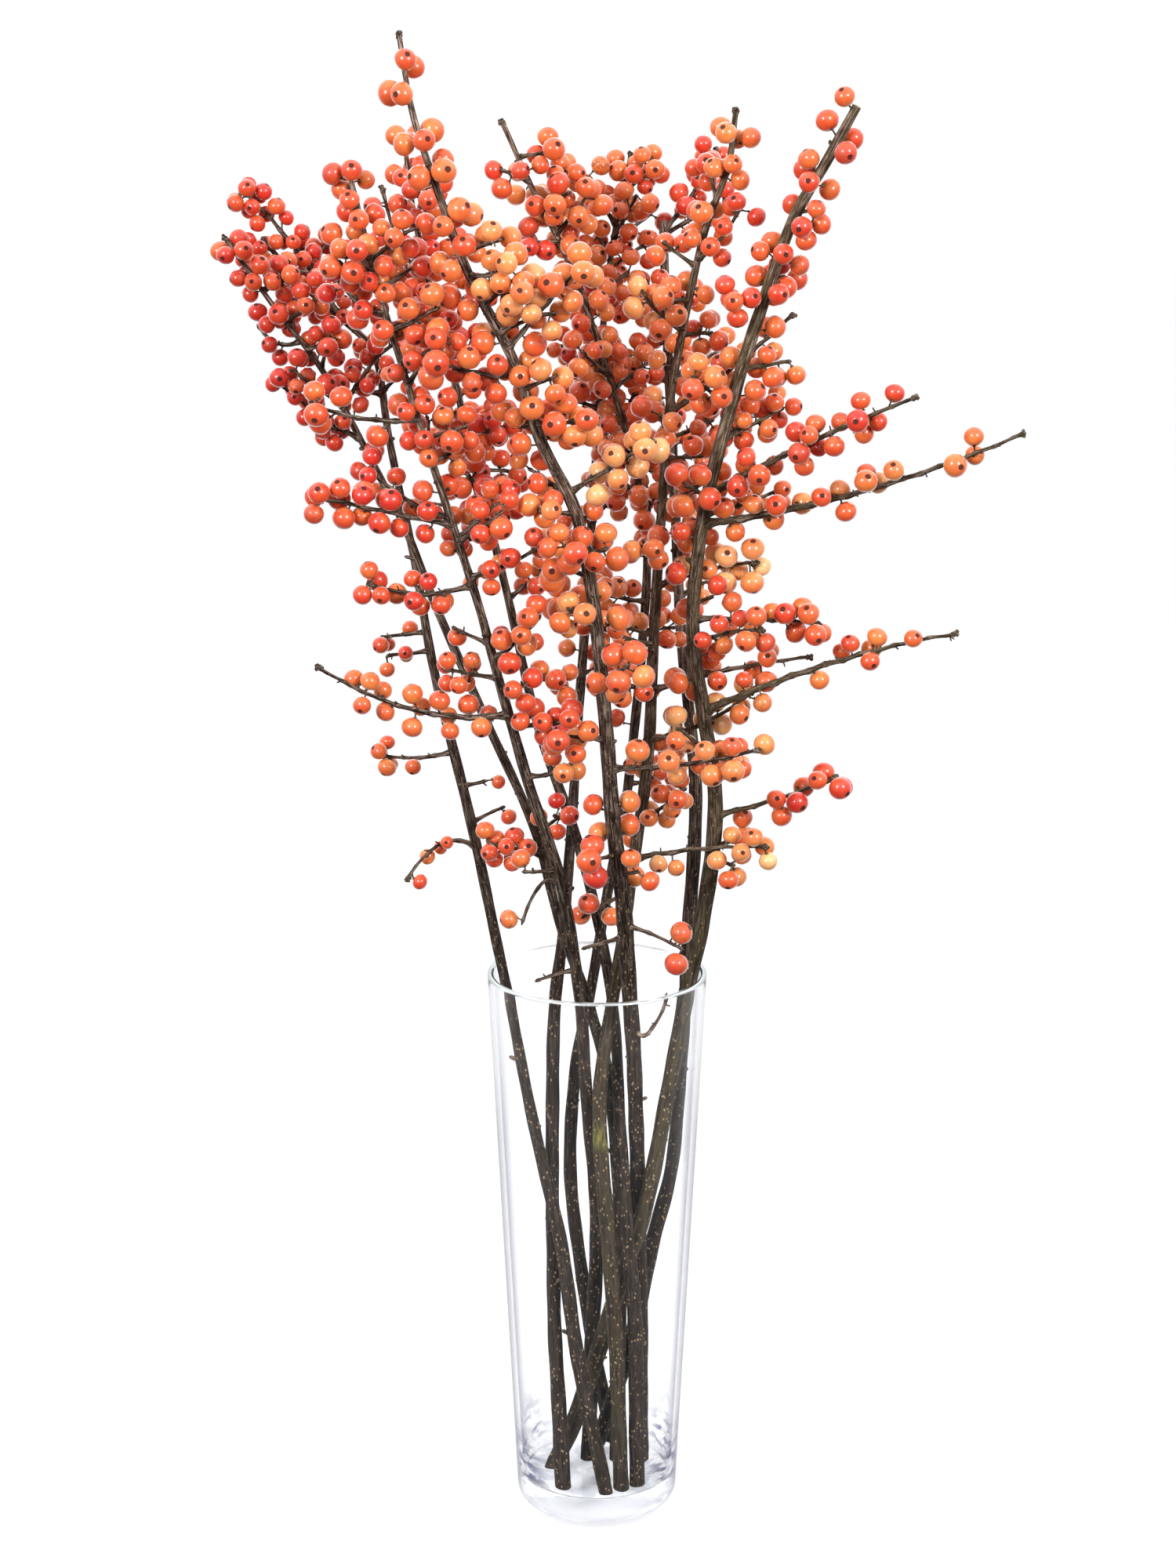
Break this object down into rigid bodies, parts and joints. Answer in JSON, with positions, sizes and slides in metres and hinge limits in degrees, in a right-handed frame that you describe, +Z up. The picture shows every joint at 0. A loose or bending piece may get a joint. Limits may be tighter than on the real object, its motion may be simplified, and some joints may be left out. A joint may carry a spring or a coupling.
{
  "type": "winterberry branch arrangement",
  "caption": "Cut winterberry branches with orange-red berries standing in a tapered clear glass vase.",
  "frame": {"origin": "centre of the vase's underside, on the surface that it stands on", "axes": "+Z up along the vase's axis, the front of the arrangement faces -Y, +X to its right"},
  "size_m": [0.3256, 0.2151, 0.6471],
  "materials": {
    "glass": "clear, polished",
    "bark": "matte bark",
    "berries": "glossy skin"
  },
  "bodies": {
    "root": {"vase": "glass", "branch_left_back": "bark", "branch_left_low": "bark", "branch_left_front": "bark", "branch_left_middle": "bark", "branch_back": "bark", "branch_right_middle": "bark", "branch_back_middle": "bark", "branch_right_back": "bark", "branch_tall_front": "bark", "branch_right_front": "bark"}
  },
  "joints": []
}
